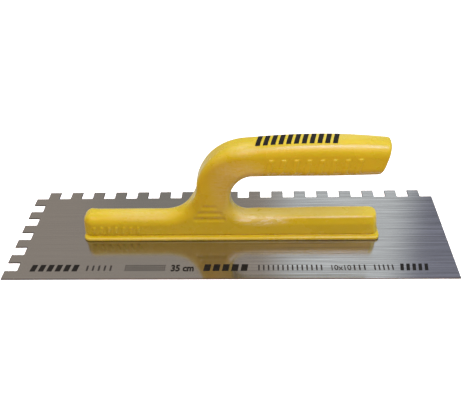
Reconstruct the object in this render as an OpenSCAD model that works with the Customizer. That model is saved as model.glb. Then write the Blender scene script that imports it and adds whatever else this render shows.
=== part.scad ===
// Notched trowel for spreading tile adhesive: a thin steel blade with square teeth
// along its back edge and one short edge, and an open C-shaped moulded plastic handle.
// A steel strip inside the handle's hollow foot is riveted to the blade, and screws
// come up through the blade and the strip into bosses in the foot.
// The origin is the centre of the blade's working face. +X runs along the blade
// towards the grip's free end, +Y towards the long row of teeth, and +Z up.

/* [Blade] */
// Length of the blade, including the teeth on its short edge
blade_l = 350; // [250:10:500]
// Width of the blade, including the teeth on its long edge
blade_w = 120; // [110:10:140]
// Thickness of the blade's sheet steel
blade_t = 0.8; // [0.6:0.1:1.0]

/* [Teeth] */
// Width and depth of each square notch, and the width of each tooth
notch = 10; // [6:1:12]
// Radius in the inner corners of a notch
notch_r = 0.8; // [0.3:0.1:1.5]

/* [Foot] */
// Length of the foot, over its lip
foot_l = 240; // [230:5:250]
// Width of the foot, over its lip
foot_w = 25.8; // [24:0.2:26]
// Height of the foot's top above the blade, on the side away from the grip
soft_foot_h = 21.8; // [21:0.2:23]
// Height of the foot's top above the blade, under the grip
crisp_foot_h = 19.8; // [19:0.2:21.8]
// Width of the foot's body up to where its flanks begin to lean in
body_w = 19.4; // [19:0.2:21]
// Height of the lip above the blade
lip_h = 2.8; // [2.4:0.2:5]
// Rounding of the foot's top edges on the side away from the grip
soft_edge_r = 9; // [4:0.5:9]
// Rounding of the foot's top edges under the grip
crisp_edge_r = 1.2; // [0.6:0.2:3]

/* [Stem and grip] */
// Width of the stem, along the blade
stem_w = 26; // [24:0.4:30]
// Height of the grip's centre line above the blade
grip_z = 72.5; // [68:0.5:78]
// Width of the grip across the blade, at half its height
grip_w = 28.8; // [26:0.2:30]
// Corner rounding of the grip's section
grip_r = 9.5; // [6:0.5:11]
// Overhang of the grip's free end past the foot's end, measured at its top edge
grip_overhang = 5.5; // [0:0.5:8]

/* [Fixings] */
// Distance between neighbouring fixings along the centre line
fixing_pitch = 22; // [18:1:22]
// Shank radius of the handle screws
screw_r = 1.8; // [1.5:0.1:2.2]
// Length of the handle screws, over the head
screw_l = 15; // [12:0.5:16]
// Shank radius of the strip rivets
rivet_r = 2; // [1.5:0.1:2.4]

/* [Hidden] */
screw_places = [-3.5, -1.5, 1.5, 3.5];
rivet_places = [-4.5, -2.5, -0.5, 0.5, 2.5, 4.5];

steel_colour = "#8f8b88";
plastic_colour = "#e3c33f";
fixing_colour = "#a9a9ab";

// Clear distance for cutters that run past a face
past = 1;
$fn = 48;

// Mounting strip and fixings
strip_l = 222;
strip_w = 15;
strip_t = 2.5;
strip_end_r = 3;
strip_top = blade_t + strip_t;
rivet_head_r = 3.4;
rivet_head_l = rivet_head_r - rivet_r;
formed_head_r = 3.6;
formed_head_h = 1.2;
screw_head_r = 3.8;
screw_head_l = screw_head_r - screw_r;
screw_hole_r = screw_r + 0.2;
recess_l = 3.6;
recess_w = 0.9;
recess_depth = 1.3;

// Foot
soft_top = blade_t + soft_foot_h;
crisp_top = blade_t + crisp_foot_h;
lip_top = blade_t + lip_h;
lip_corner_r = 4.5;
lip_edge_r = 1.2;
lip_foot_r = 0.6;
soft_half_w = 9.5;
crisp_half_w = 7.4;
kink_z = 14.3;
soft_end_x = -foot_l / 2 + 0.4;
crisp_end_x = foot_l / 2 - 1.8;
soft_end_r = 6;
crisp_end_r = 1.5;
body_corner_r = 6;
// Over this length from the soft end, the edges' rounding grows from its smaller share
soft_end_l = 14;
soft_end_share = 0.8;
// The top face narrows, and its height and edge rounding change, between these places along X
narrowing_x = [-2, 44];
step_down_x = [-24, 0];
root_fade_x = [-6, 30];
crisp_fade_x = [34, 80];
root_edge_r = 3.2;
edge_steps = 8;
shell_wall = 2;
roof_wall = 3;
boss_r = 4.2;
web_t = 1.6;
pilot_tip = 0.5;
body_xs = [soft_end_x, soft_end_x + soft_end_l, -24, -12, -6, 0, 6, 12, 18, 24, 30, 37, 44, 60, 80, crisp_end_x];

// Contour of the stem and grip in the plane of symmetry, as [x, z]
stem_left = -24.8;
stem_right = stem_left + stem_w;
left_fillet_r = 28.3;
right_fillet_r = 16;
grip_start = 15;
inner_straight_l = 1.2;
inner_start_z = crisp_top + right_fillet_r + inner_straight_l;
inner_end_x = 19.3;
grip_half_h = 13.1;
grip_centre = blade_t + grip_z;
grip_bottom = grip_centre - grip_half_h;
grip_top = grip_centre + grip_half_h;
crown_rise = 2.4;
crown_at = 68;
end_lean = 7.6;
end_top_x = foot_l / 2 + grip_overhang;
end_bottom_x = end_top_x - end_lean;
plug_l = 9;
end_dome = 0.8;
end_edge_r = 3.2;
// How far the bend's curves run on from the stem and from the grip before they turn
outer_pull = [5, 31];
inner_pull = [11.4, 8.4];
stem_half_w = 10;
// The stem widens, and loses the foot's soft edges, between these heights
stem_widening_z = [22, 52];
soft_fade_z = [24, 40];
// Start and direction of the blend from stem to grip, and the heights between which it sets in
bend_start = [-12, 45];
bend_run = [36, 28];
bend_z = [26, 42];
bend_lead = 0.05;
width_done = 0.9;
edges_done = 1.2;
// The grip narrows at both ends by the first amount and towards its free end by the second
grip_end_narrowing = [0.5, 1.3];
free_end_from = 0.55;
free_end_to = 1.05;
flank_lean = 0.1;
flank_lean_z = [-10, 12];
// The fillets' rounding is longer than wide, but no more than this share of its slope allows
least_slope = 0.27;
// Depths below the foot's top where the stem's plan fills out, and the stretch of its rounding
sunk = [[9, 1], [4, 2.2]];
ring_corner_steps = 6;
fillet_step = 10;
bend_steps = 14;
grip_steps = 10;
dome_steps = 5;

// Grooves across the root of the stem, on both its flanks
groove_count = 3;
groove_offset = 4;
groove_x = (stem_left + stem_right) / 2 - groove_offset;
groove_z = 19.5;
groove_pitch = 5.9;
groove_l = 25;
groove_shorter = 6.4;
groove_h = 2.4;
groove_depth = 0.5;

// Hollows of the stem and grip
stem_core = [14, 11];
stem_core_z = [strip_top + 2, 44];
stem_core_r = 3;
grip_core = [17, 17];
grip_core_r = 6;
grip_core_start = grip_start + 13;
grip_core_end = foot_l / 2 + 4;
spigot_l = 12;
spigot_gap = 0.1;

// ---- Shapes used by several pieces ----

// Rectangle from its lowest corner, with round corners
module round_rect(size, r) {
    translate([r, 0]) square([size[0] - 2 * r, size[1]]);
    translate([0, r]) square([size[0], size[1] - 2 * r]);
    for (x = [r, size[0] - r], y = [r, size[1] - r]) translate([x, y]) circle(r);
}

module centred_round_rect(size, r) {
    translate(-size / 2) round_rect(size, r);
}

// Hole for a 90 degree countersunk head whose wide end lies in the plane z = 0
module countersink(head_r, shank_r, reach) {
    translate([0, 0, -past]) cylinder(h = past + 0.001, r = head_r);
    cylinder(h = head_r - shank_r, r1 = head_r, r2 = shank_r);
    cylinder(h = reach, r = shank_r);
}

module at_places(places) {
    for (p = places) translate([p * fixing_pitch, 0, 0]) children();
}

// ---- Blade and fixings ----

// Square notch, open towards +Y, with small radii in its two inner corners
module notch_2d() {
    translate([notch_r, 0]) square([notch - 2 * notch_r, notch + past]);
    translate([0, notch_r]) square([notch, notch + past - notch_r]);
    for (x = [notch_r, notch - notch_r]) translate([x, notch_r]) circle(notch_r, $fn = 24);
}

module blade_outline() {
    back_notches = floor((blade_l / notch - 1) / 2);
    side_notches = floor((blade_w / notch - 1) / 2);
    difference() {
        translate([-blade_l / 2, -blade_w / 2]) square([blade_l, blade_w]);
        // Long row of teeth, along the back edge
        for (i = [1 : back_notches - 1])
            translate([-blade_l / 2 + 2 * notch * i, blade_w / 2 - notch]) notch_2d();
        // Short row of teeth, on the edge away from the grip's free end
        for (i = [0 : side_notches - 1])
            translate([-blade_l / 2 + notch, -blade_w / 2 + notch * (1 + 2 * i)])
                rotate(90) notch_2d();
        // The two corners at the ends of the long row are notches too
        translate([-blade_l / 2 - past, blade_w / 2 - notch]) square([notch + past, notch + past]);
        translate([-blade_l / 2 + 2 * notch * back_notches, blade_w / 2 - notch])
            square([blade_l - 2 * notch * back_notches + past, notch + past]);
    }
}

module blade() {
    color(steel_colour) difference() {
        linear_extrude(blade_t) blade_outline();
        at_places(screw_places) countersink(screw_head_r, screw_hole_r, blade_t + past);
        at_places(rivet_places) countersink(rivet_head_r, rivet_r, blade_t + past);
    }
}

module mounting_strip() {
    color(steel_colour) difference() {
        translate([0, 0, blade_t])
            linear_extrude(strip_t) centred_round_rect([strip_l, strip_w], strip_end_r);
        at_places(screw_places) countersink(screw_head_r, screw_hole_r, strip_top + past);
        at_places(rivet_places) countersink(rivet_head_r, rivet_r, strip_top + past);
    }
}

// Flush at the working face, and formed over the strip inside the foot
module strip_rivet(place) {
    color(fixing_colour) translate([place * fixing_pitch, 0, 0]) {
        cylinder(h = rivet_head_l, r1 = rivet_head_r, r2 = rivet_r);
        cylinder(h = strip_top + formed_head_h / 2, r = rivet_r);
        translate([0, 0, strip_top])
            cylinder(h = formed_head_h, r1 = formed_head_r, r2 = formed_head_r - 1.2);
    }
}

// Countersunk, with a cross recess in its head
module handle_screw(place) {
    color(fixing_colour) translate([place * fixing_pitch, 0, 0]) difference() {
        union() {
            cylinder(h = screw_head_l, r1 = screw_head_r, r2 = screw_r);
            cylinder(h = screw_l - screw_r, r = screw_r);
            translate([0, 0, screw_l - screw_r]) cylinder(h = screw_r, r1 = screw_r, r2 = screw_r / 3);
        }
        for (turn = [0, 90]) rotate(turn)
            translate([-recess_l / 2, -recess_w / 2, -past])
                cube([recess_l, recess_w, recess_depth + past]);
    }
}

// ---- Shape of the handle ----

function bezier(p, t) =
    pow(1 - t, 3) * p[0] + 3 * pow(1 - t, 2) * t * p[1] + 3 * (1 - t) * t * t * p[2] + t * t * t * p[3];
function mix(a, b, t) = a + (b - a) * t;
// 0 before start, 1 after end, and an even blend between them
function smooth(v, start, end) = let (t = min(max((v - start) / (end - start), 0), 1)) t * t * (3 - 2 * t);

// 0 in the foot and stem, 1 in the grip, and a blend round the bend that ends at the given share
function towards_grip(x, z, done) =
    smooth(([x, z] - bend_start) * bend_run / (bend_run * bend_run), -bend_lead, done)
        * smooth(z, bend_z[0], bend_z[1]);

// Half width of the foot's top face
function top_half_at(x) = mix(soft_half_w, crisp_half_w, smooth(x, narrowing_x[0], narrowing_x[1]));

// Rounding of the handle's long edges
function edge_r_at(x, z) = let (
        left = mix(soft_edge_r, soft_edge_r / 2, smooth(z, soft_fade_z[0], soft_fade_z[1])),
        root = mix(left, root_edge_r, smooth(x, root_fade_x[0], root_fade_x[1])),
        low = mix(root, crisp_edge_r, smooth(x, crisp_fade_x[0], crisp_fade_x[1]))
    )
    mix(low, grip_r, towards_grip(x, z, edges_done));

// Half width of the stem and grip. The grip's flanks lean in upwards
function half_w_at(x, z) = let (
        stem = mix(soft_half_w, stem_half_w, smooth(z, stem_widening_z[0], stem_widening_z[1])),
        along = (x - grip_start) / (end_top_x - grip_start),
        narrower = grip_end_narrowing * [pow(2 * along - 1, 2), smooth(along, free_end_from, free_end_to)],
        lean = flank_lean * min(max(z - grip_centre, flank_lean_z[0]), flank_lean_z[1])
    )
    mix(stem, grip_w / 2 - narrower - lean, towards_grip(x, z, width_done));

// Closed solid through a list of rings, each a list of the same number of points
module skin(rings) {
    n = len(rings[0]);
    last = (len(rings) - 1) * n;
    polyhedron(
        points = [for (r = rings) each r],
        faces = concat(
            [[for (i = [0 : n - 1]) i]],
            [for (k = [0 : len(rings) - 2], i = [0 : n - 1]) let (j = (i + 1) % n)
                each [[k * n + i, (k + 1) * n + i, (k + 1) * n + j], [k * n + i, (k + 1) * n + j, k * n + j]]],
            [[for (i = [n - 1 : -1 : 0]) last + i]]
        )
    );
}

// ---- Foot ----

// Section of the foot's body at x: upright flanks, leaning in above a kink, and rounded top edges
function body_ring(x) = let (
        top_z = mix(soft_top, crisp_top, smooth(x, step_down_x[0], step_down_x[1])),
        from_end = smooth(x, soft_end_x, soft_end_x + soft_end_l),
        r = edge_r_at(x, blade_t) * mix(soft_end_share, 1, from_end),
        // The kink moves down where the rounding would reach below it
        lean_z = min(kink_z, top_z - r - 0.3),
        lean = (body_w / 2 - top_half_at(x)) / (top_z - lean_z),
        angle = atan(lean),
        // Centre of the rounding, tangent to the top and to the leaning flank
        centre_y = top_half_at(x) + lean * r - r / cos(angle),
        right = concat(
            [[body_w / 2, blade_t], [body_w / 2, lean_z]],
            [for (i = [0 : edge_steps]) let (a = mix(angle, 90, i / edge_steps))
                [centre_y + r * cos(a), top_z - r + r * sin(a)]]
        ),
        n = len(right)
    )
    concat(
        [for (i = [0 : n - 1]) [x, right[i][0], right[i][1]]],
        [for (i = [n - 1 : -1 : 0]) [x, -right[i][0], right[i][1]]]
    );

// Side view of the body, with round top corners at both ends
module body_side_view() {
    polygon(concat(
        [[soft_end_x, -past], [crisp_end_x, -past]],
        [for (i = [0 : edge_steps]) let (a = 90 * i / edge_steps)
            [crisp_end_x - crisp_end_r * (1 - cos(a)), crisp_top - crisp_end_r * (1 - sin(a))]],
        [[crisp_end_x - crisp_end_r, soft_top + past], [soft_end_x + soft_end_r, soft_top + past]],
        [for (i = [0 : edge_steps]) let (a = 90 + 90 * i / edge_steps)
            [soft_end_x + soft_end_r * (1 + cos(a)), soft_top - soft_end_r * (1 - sin(a))]]
    ));
}

// Round-cornered rectangle in plan, drawn in all round, at one height
function lip_ring(inset, z) = let (
        r = lip_corner_r - inset,
        cx = foot_l / 2 - lip_corner_r,
        cy = foot_w / 2 - lip_corner_r
    )
    [for (corner = [0 : 3]) for (i = [0 : ring_corner_steps]) let (
            a = 90 * (corner + i / ring_corner_steps),
            side_x = corner == 0 || corner == 3 ? 1 : -1,
            side_y = corner < 2 ? 1 : -1
        )
        [side_x * cx + r * cos(a), side_y * cy + r * sin(a), z]];

module lip() {
    quarter = [0 : 18 : 90];
    skin(concat(
        [for (a = quarter) lip_ring(lip_foot_r * (1 - sin(a)), blade_t + lip_foot_r * (1 - cos(a)))],
        [for (a = quarter) lip_ring(lip_edge_r * (1 - cos(a)), lip_top - lip_edge_r * (1 - sin(a)))]
    ));
}

module foot() {
    intersection() {
        skin([for (x = body_xs) body_ring(x)]);
        translate([soft_end_x, -body_w / 2, 0]) linear_extrude(soft_top + 2 * past)
            round_rect([crisp_end_x - soft_end_x, body_w], body_corner_r);
        translate([0, body_w, 0]) rotate([90, 0, 0]) linear_extrude(2 * body_w) body_side_view();
    }
    lip();
}

// The hollow under the foot's roof, left open by cross webs and screw bosses
module foot_hollow() {
    hollow_l = strip_l + 2;
    base = body_w / 2 - shell_wall;
    top = crisp_half_w - shell_wall;
    roof = crisp_top - roof_wall;
    difference() {
        translate([-hollow_l / 2, 0, 0]) rotate([90, 0, 90]) linear_extrude(hollow_l)
            polygon([[-base, -past], [base, -past], [base, kink_z - shell_wall / 2], [top, roof],
                [-top, roof], [-base, kink_z - shell_wall / 2]]);
        translate([0, 0, strip_top]) at_places(screw_places) cylinder(h = crisp_foot_h, r = boss_r);
        for (p = [-4 : 4]) translate([p * fixing_pitch - web_t / 2, -foot_w / 2, strip_top])
            cube([web_t, foot_w, crisp_foot_h]);
    }
}

// ---- Stem and grip ----

// Upper contour of the grip: a low crown over its length, as the height at x
function grip_top_at(x) = let (s = (x - crown_at) / (crown_at - grip_start))
    grip_top + crown_rise * (1 - s * s);
crown_slope = 2 * crown_rise / (crown_at - grip_start);

outer_bend = [
    [stem_left, soft_top + left_fillet_r],
    [stem_left, soft_top + left_fillet_r + outer_pull[0]],
    [grip_start - outer_pull[1], grip_top - crown_slope * outer_pull[1]],
    [grip_start, grip_top]
];
inner_bend = [
    [stem_right, inner_start_z],
    [stem_right, inner_start_z + inner_pull[0]],
    [inner_end_x - inner_pull[1], grip_bottom],
    [inner_end_x, grip_bottom]
];

// A station is [outer point, inner point, half width at each, edge rounding at each, and how
// much longer than wide the rounding is]
function station(outer, inner, stretch = 1) = [outer, inner,
    [half_w_at(outer[0], outer[1]), half_w_at(inner[0], inner[1])],
    [edge_r_at(outer[0], outer[1]), edge_r_at(inner[0], inner[1])], stretch];
function fillet_station(a) = station(
    [stem_left - left_fillet_r * (1 - sin(a)), soft_top + left_fillet_r * (1 - cos(a))],
    [stem_right + right_fillet_r * (1 - sin(a)), crisp_top + right_fillet_r * (1 - cos(a))],
    1 / max(sin(a), least_slope));
function bend_station(t) = station(bezier(outer_bend, t), bezier(inner_bend, t));
// t runs from 0 where the bend ends to 1 at the free end
function grip_station(t) = let (outer_x = mix(grip_start, end_top_x, t))
    station([outer_x, grip_top_at(outer_x)], [mix(inner_end_x, end_bottom_x, t), grip_bottom]);

// The stem carries on down into the foot's body, where its plan fills out
function sunk_station(depth, stretch) = let (s = fillet_station(0), sink = [0, -depth])
    [s[0] + sink, s[1] + sink, s[2], s[3], stretch];
grip_l = end_bottom_x - inner_end_x;
seam_t = 1 - plug_l / grip_l;
handle_stations = concat(
    [for (s = sunk) sunk_station(s[0], s[1])],
    [for (a = [0 : fillet_step : 90]) fillet_station(a)],
    [for (i = [1 : bend_steps]) bend_station(i / bend_steps)],
    [for (i = [1 : grip_steps]) grip_station(seam_t * i / grip_steps)]
);
// A station drawn in all round by the same distance
function drawn_in(s, by) = let (
        middle = (s[0] + s[1]) / 2,
        half = norm(s[0] - s[1]) / 2,
        keep = (half - by) / half
    )
    [mix(middle, s[0], keep), mix(middle, s[1], keep),
        [for (w = s[2]) w - by], [for (r = s[3]) max(r - by, 2)], s[4]];
// The plug carries the grip's outline on, turns in over its edge, and ends in a low dome
function edge_station(a) =
    drawn_in(grip_station(1 - end_edge_r * (1 - sin(a)) / grip_l), end_edge_r * (1 - cos(a)));
plug_stations = concat(
    [grip_station(seam_t)],
    [for (i = [0 : dome_steps]) edge_station(90 * i / dome_steps)],
    [drawn_in(grip_station(1 + end_dome / grip_l), 2 * end_edge_r)]
);

// One ring of points: a rounded rectangle across the line from outer to inner point
function ring(s) = let (
        middle = (s[0] + s[1]) / 2,
        up = (s[0] - s[1]) / norm(s[0] - s[1]),
        half_h = norm(s[0] - s[1]) / 2
    )
    [for (corner = [0 : 3]) for (i = [0 : ring_corner_steps]) let (
            a = 90 * (corner + i / ring_corner_steps),
            end = corner < 2 ? 0 : 1,
            r = min(s[3][end], s[2][end] - 0.2, half_h - 0.2),
            across = (corner == 0 || corner == 3 ? 1 : -1) * (s[2][end] - r) + r * cos(a),
            long_r = r * s[4],
            along = (corner < 2 ? 1 : -1) * (half_h - long_r) + long_r * sin(a)
        )
        [middle[0] + up[0] * along, across, middle[1] + up[1] * along]];

module skin_stations(stations) {
    skin([for (s = stations) ring(s)]);
}

// Rounded bar along X through the grip, for its core and for the plug's spigot
module grip_bar(x0, x1, gap) {
    size = [grip_core[0] - 2 * gap, grip_core[1] - 2 * gap];
    translate([x0, 0, grip_centre]) rotate([90, 0, 90])
        linear_extrude(x1 - x0) centred_round_rect(size, grip_core_r - gap);
}

// Each groove is shorter than the one below it
module stem_grooves() {
    for (side = [-1, 1], i = [0 : groove_count - 1])
        translate([groove_x, side * (soft_half_w - groove_depth + past), groove_z + groove_pitch * i])
            cube([groove_l - groove_shorter * i, 2 * past, groove_h], center = true);
}

module handle() {
    color(plastic_colour) difference() {
        union() {
            foot();
            skin_stations(handle_stations);
        }
        foot_hollow();
        translate([(stem_left + stem_right) / 2, 0, stem_core_z[0]])
            linear_extrude(stem_core_z[1] - stem_core_z[0]) centred_round_rect(stem_core, stem_core_r);
        grip_bar(grip_core_start, grip_core_end, 0);
        at_places(screw_places) cylinder(h = screw_l + pilot_tip, r = screw_r);
        stem_grooves();
    }
}

module grip_end_plug() {
    seam = grip_station(seam_t);
    color(plastic_colour) {
        skin_stations(plug_stations);
        grip_bar(min(seam[0][0], seam[1][0]) - spigot_l, seam[1][0] + 4, spigot_gap);
    }
}

blade();
handle();
grip_end_plug();
mounting_strip();
for (i = [0 : len(rivet_places) - 1])
    strip_rivet(rivet_places[i]);
for (i = [0 : len(screw_places) - 1])
    handle_screw(screw_places[i]);
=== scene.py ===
import math

import bmesh
import bpy
import numpy as np
from mathutils import Matrix, Vector


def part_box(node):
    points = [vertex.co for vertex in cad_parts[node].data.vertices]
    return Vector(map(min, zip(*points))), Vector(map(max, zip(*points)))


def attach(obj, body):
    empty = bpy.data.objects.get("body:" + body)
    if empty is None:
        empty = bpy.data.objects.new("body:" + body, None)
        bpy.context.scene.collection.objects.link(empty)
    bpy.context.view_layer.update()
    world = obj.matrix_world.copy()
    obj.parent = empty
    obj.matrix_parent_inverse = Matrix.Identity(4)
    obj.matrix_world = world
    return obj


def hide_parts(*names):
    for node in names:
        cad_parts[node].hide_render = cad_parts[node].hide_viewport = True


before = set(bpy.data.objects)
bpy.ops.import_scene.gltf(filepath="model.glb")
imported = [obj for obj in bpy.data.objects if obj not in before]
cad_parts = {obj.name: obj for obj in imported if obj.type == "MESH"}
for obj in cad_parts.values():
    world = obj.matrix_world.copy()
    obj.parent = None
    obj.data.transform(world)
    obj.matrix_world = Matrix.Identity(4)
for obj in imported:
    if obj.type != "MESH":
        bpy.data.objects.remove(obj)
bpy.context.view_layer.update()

# Notched trowel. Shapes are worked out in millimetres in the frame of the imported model:
# X along the blade, Y towards the long row of teeth, Z up from the blade's working face.
MM = 0.001


def box_mm(node):
    """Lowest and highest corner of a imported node, in millimetres."""
    low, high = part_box(node)
    return [v / MM for v in low], [v / MM for v in high]


def new_linked(name, data):
    """An object made from its data and put into the scene."""
    obj = bpy.data.objects.new(name, data)
    bpy.context.collection.objects.link(obj)
    return obj


BLADE_LOW, BLADE_HIGH = box_mm("blade")
HANDLE_X0 = box_mm("handle")[0][0]
BLADE_T = BLADE_HIGH[2] - BLADE_LOW[2]

# ---------------------------------------------------------------- Camera

# Place in metres, focal length and sensor in millimetres, turns in degrees
CAMERA_PLACE = (0.0257, -0.4628, 0.3455)
CAMERA_LENS, CAMERA_SENSOR = 54.37, 36.0
CAMERA_TILT_DOWN, CAMERA_YAW, CAMERA_ROLL = 34.68, 3.05, -2.15


def make_camera():
    """At the height and tilt that show the blade's top and the handle's front."""
    data = bpy.data.cameras.new("camera")
    data.sensor_width = CAMERA_SENSOR
    data.lens = CAMERA_LENS
    data.clip_start = 0.01
    camera = new_linked("camera", data)
    tilt = Matrix.Rotation(math.pi / 2 - math.radians(CAMERA_TILT_DOWN), 4, "X")
    yaw = Matrix.Rotation(math.radians(CAMERA_YAW), 4, "Z")
    roll = Matrix.Rotation(math.radians(CAMERA_ROLL), 4, "Z")
    camera.matrix_world = Matrix.Translation(CAMERA_PLACE) @ (yaw @ tilt) @ roll
    bpy.context.scene.camera = camera


# ---------------------------------------------------------------- Shape of the handle

# Left is the foot's end away from the grip's free end, and right is the end below it

# Lip, the flange that the foot stands on
FOOT_X0, FOOT_X1 = HANDLE_X0, HANDLE_X0 + 240.8
LIP_TOP = BLADE_T + 2.7
LIP_HALF_W = 12.9
LIP_CORNER_LEFT, LIP_CORNER_RIGHT = 6.0, 4.8
LIP_EDGE_LEFT, LIP_EDGE_RIGHT = 1.4, 0.7
LIP_UNDER_R = 0.6
LIP_FILLET_R = 0.15

# Body of the foot: its ends, its heights, and the flanks that lean in above a soft kink
BODY_X0, BODY_X1 = FOOT_X0 + 0.2, FOOT_X1 - 2.0
BODY_CORNER_R = 6.0
LEFT_FOOT_TOP, RIGHT_FOOT_TOP = BLADE_T + 21.8, BLADE_T + 19.8
BODY_HALF_W = 9.7
LEFT_TOP_HALF_W, RIGHT_TOP_HALF_W = 9.5, 7.4
NARROWING_X = (-2.0, 44.0)
KINK_Z, KINK_SOFTNESS = 14.3, 1.2
# Both ends lean in with height and have their stated place at this one. The left is domed too
DRAFT_Z = 12.0
LEFT_DRAFT, RIGHT_DRAFT = 0.06, 0.09
LEFT_DOME = 60.0

# Stem and grip in the side view
STEM_LEFT, STEM_RIGHT = -24.8, 1.3
LEFT_FILLET_R, RIGHT_FILLET_R = 28.3, 16.0
GRIP_START = 14.9
GRIP_CENTRE = BLADE_T + 72.5
CROWN_AT, CROWN_RISE = 68.0, 2.4
GRIP_TOP = BLADE_T + 85.6
GRIP_BOTTOM = BLADE_T + 59.4
INNER_Z = BLADE_T + 37.6
INNER_END = 19.3
# How far the bend's curves run on from the stem and from the grip before they turn
OUTER_PULL = (5.1, 30.9)
INNER_PULL = (11.4, 8.4)
END_TOP_X = FOOT_X1 + 4.6
END_LEAN = 7.6
END_RISE = -0.3
END_DOME, END_EDGE_R = 0.7, 2.8

# Half widths across the blade, and the way the grip takes over from the stem round the bend
STEM_HALF_W = 10.0
STEM_WIDENING_Z = (22.0, 52.0)
GRIP_HALF_W, GRIP_BARREL, GRIP_END_TAPER = 14.35, 0.5, 1.3
FLANK_LEAN = 0.1
BEND_FROM, BEND_WAY = (-12.0, 45.0), (36.0, 28.0)
BEND_Z = (26.0, 42.0)
WIDE_AT, ROUND_AT = 0.9, 1.2

# Rounding of the long edges, from the left end past the stem's root to the right end
LEFT_END_EDGE_R, LEFT_EDGE_R, ROOT_EDGE_R, RIGHT_EDGE_R = 7.2, 9.5, 3.2, 1.2
STEM_EDGE_R = 4.6
GRIP_UNDER_EDGE_R, GRIP_TOP_EDGE_R = 8.6, 10.0

# Moulded marks. The grooves lie across the stem's root, each shorter and shallower than the last
GROOVES = 3
GROOVE_X, GROOVE_Z, GROOVE_PITCH = -15.8, 19.5, 5.9
GROOVE_SHIFT, GROOVE_HALF_L, GROOVE_SHORTER = 0.2, 12.0, 3.2
GROOVE_DEPTH, GROOVE_SHALLOWER = 0.6, 0.08
LIP_GROOVE_Z, LIP_GROOVE_HALF_H, LIP_GROOVE_DEPTH = LIP_TOP + 0.5, 0.9, 0.8
# Rows of raised strokes: relief, start and end along X, low and high Z, pitch and width
STROKE_ROWS = (
    (0.8, 30.0, 106.0, 64.0, 77.0, 9.6, 3.6),
    (0.7, -112.0, -70.0, 6.8, 12.8, 6.0, 2.2),
)
STROKE_LEAN, STROKE_FADE = 0.25, 0.5

# The end plug's seam lies this far back from the grip's end
SEAM_BACK = 9.0
# A length that is well outside the handle
BEYOND = 40.0
# A height between foot and grip
GAP_Z = 42.0


def smooth(value, start, end):
    """0 before start, 1 after end, and an even blend between them."""
    t = np.clip((value - start) / (end - start), 0.0, 1.0)
    return t * t * (3.0 - 2.0 * t)


def mix(a, b, t):
    """a where t is 0, b where t is 1."""
    return a + (b - a) * t


def bezier(points, count):
    """Points along a cubic curve, both ends included."""
    t = np.linspace(0.0, 1.0, count)[:, None]
    p = np.array(points)
    near_start = (1 - t) ** 3 * p[0] + 3 * (1 - t) ** 2 * t * p[1]
    return near_start + 3 * (1 - t) * t * t * p[2] + t ** 3 * p[3]


def arc(centre, radius, start, end, count):
    """Points on a circle in the side view, from one angle to another in degrees."""
    a = np.radians(np.linspace(start, end, count))
    return np.stack([centre[0] + radius * np.cos(a), centre[1] + radius * np.sin(a)], 1)


def grip_top_at(x):
    """Upper contour of the grip: a low crown over its length."""
    s = (x - CROWN_AT) / (CROWN_AT - GRIP_START)
    return GRIP_TOP + CROWN_RISE * (1.0 - s * s)


def grip_bottom_at(x):
    """Lower contour of the grip, which sinks a little towards its end."""
    s = (x - GRIP_START) / (END_TOP_X - END_LEAN - GRIP_START)
    return GRIP_BOTTOM + END_RISE * s * s


def side_outline():
    """The handle seen from the side as one closed loop. Foot and grip run on past their ends."""
    left_z, right_z = LEFT_FOOT_TOP + LEFT_FILLET_R, RIGHT_FOOT_TOP + RIGHT_FILLET_R
    grip_x = np.linspace(GRIP_START, END_TOP_X + BEYOND, 120)
    under_x = np.linspace(INNER_END, END_TOP_X + BEYOND, 100)
    inner_end = grip_bottom_at(INNER_END)
    outer_end = grip_top_at(GRIP_START)
    slope = 2.0 * CROWN_RISE / (CROWN_AT - GRIP_START)
    low = -BEYOND
    inner_bend = [
        [STEM_RIGHT, INNER_Z], [STEM_RIGHT, INNER_Z + INNER_PULL[0]],
        [INNER_END - INNER_PULL[1], inner_end], [INNER_END, inner_end],
    ]
    outer_bend = [
        [GRIP_START, outer_end], [GRIP_START - OUTER_PULL[1], outer_end - slope * OUTER_PULL[1]],
        [STEM_LEFT, left_z + OUTER_PULL[0]], [STEM_LEFT, left_z],
    ]
    parts = [
        [[FOOT_X1 + BEYOND, low], [FOOT_X1 + BEYOND, RIGHT_FOOT_TOP]],
        arc((STEM_RIGHT + RIGHT_FILLET_R, right_z), RIGHT_FILLET_R, 270, 180, 60),
        bezier(inner_bend, 110),
        np.stack([under_x, grip_bottom_at(under_x)], 1)[1:],
        np.stack([grip_x, grip_top_at(grip_x)], 1)[:0:-1],
        bezier(outer_bend, 240),
        arc((STEM_LEFT - LEFT_FILLET_R, left_z), LEFT_FILLET_R, 0, -90, 120),
        [[FOOT_X0 - BEYOND, LEFT_FOOT_TOP], [FOOT_X0 - BEYOND, low]],
    ]
    return np.concatenate([np.array(p, float) for p in parts])


def distance_to_loop(points, loop):
    """Signed distance to a closed loop, negative inside it."""
    best = np.full(len(points), np.inf)
    inside = np.zeros(len(points), bool)
    x, z = points[:, 0], points[:, 1]
    for a, b in zip(loop, np.roll(loop, -1, 0)):
        edge = b - a
        length2 = float(edge @ edge)
        # Arcs and curves that follow each other share an end, so some edges have no length
        if length2 < 1e-12:
            continue
        t = np.clip(((x - a[0]) * edge[0] + (z - a[1]) * edge[1]) / length2, 0.0, 1.0)
        dx, dz = x - a[0] - t * edge[0], z - a[1] - t * edge[1]
        best = np.minimum(best, dx * dx + dz * dz)
        if a[1] != b[1]:
            crosses = (a[1] > z) != (b[1] > z)
            inside ^= crosses & (x < edge[0] * (z - a[1]) / edge[1] + a[0])
    return np.where(inside, -1.0, 1.0) * np.sqrt(best)


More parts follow.
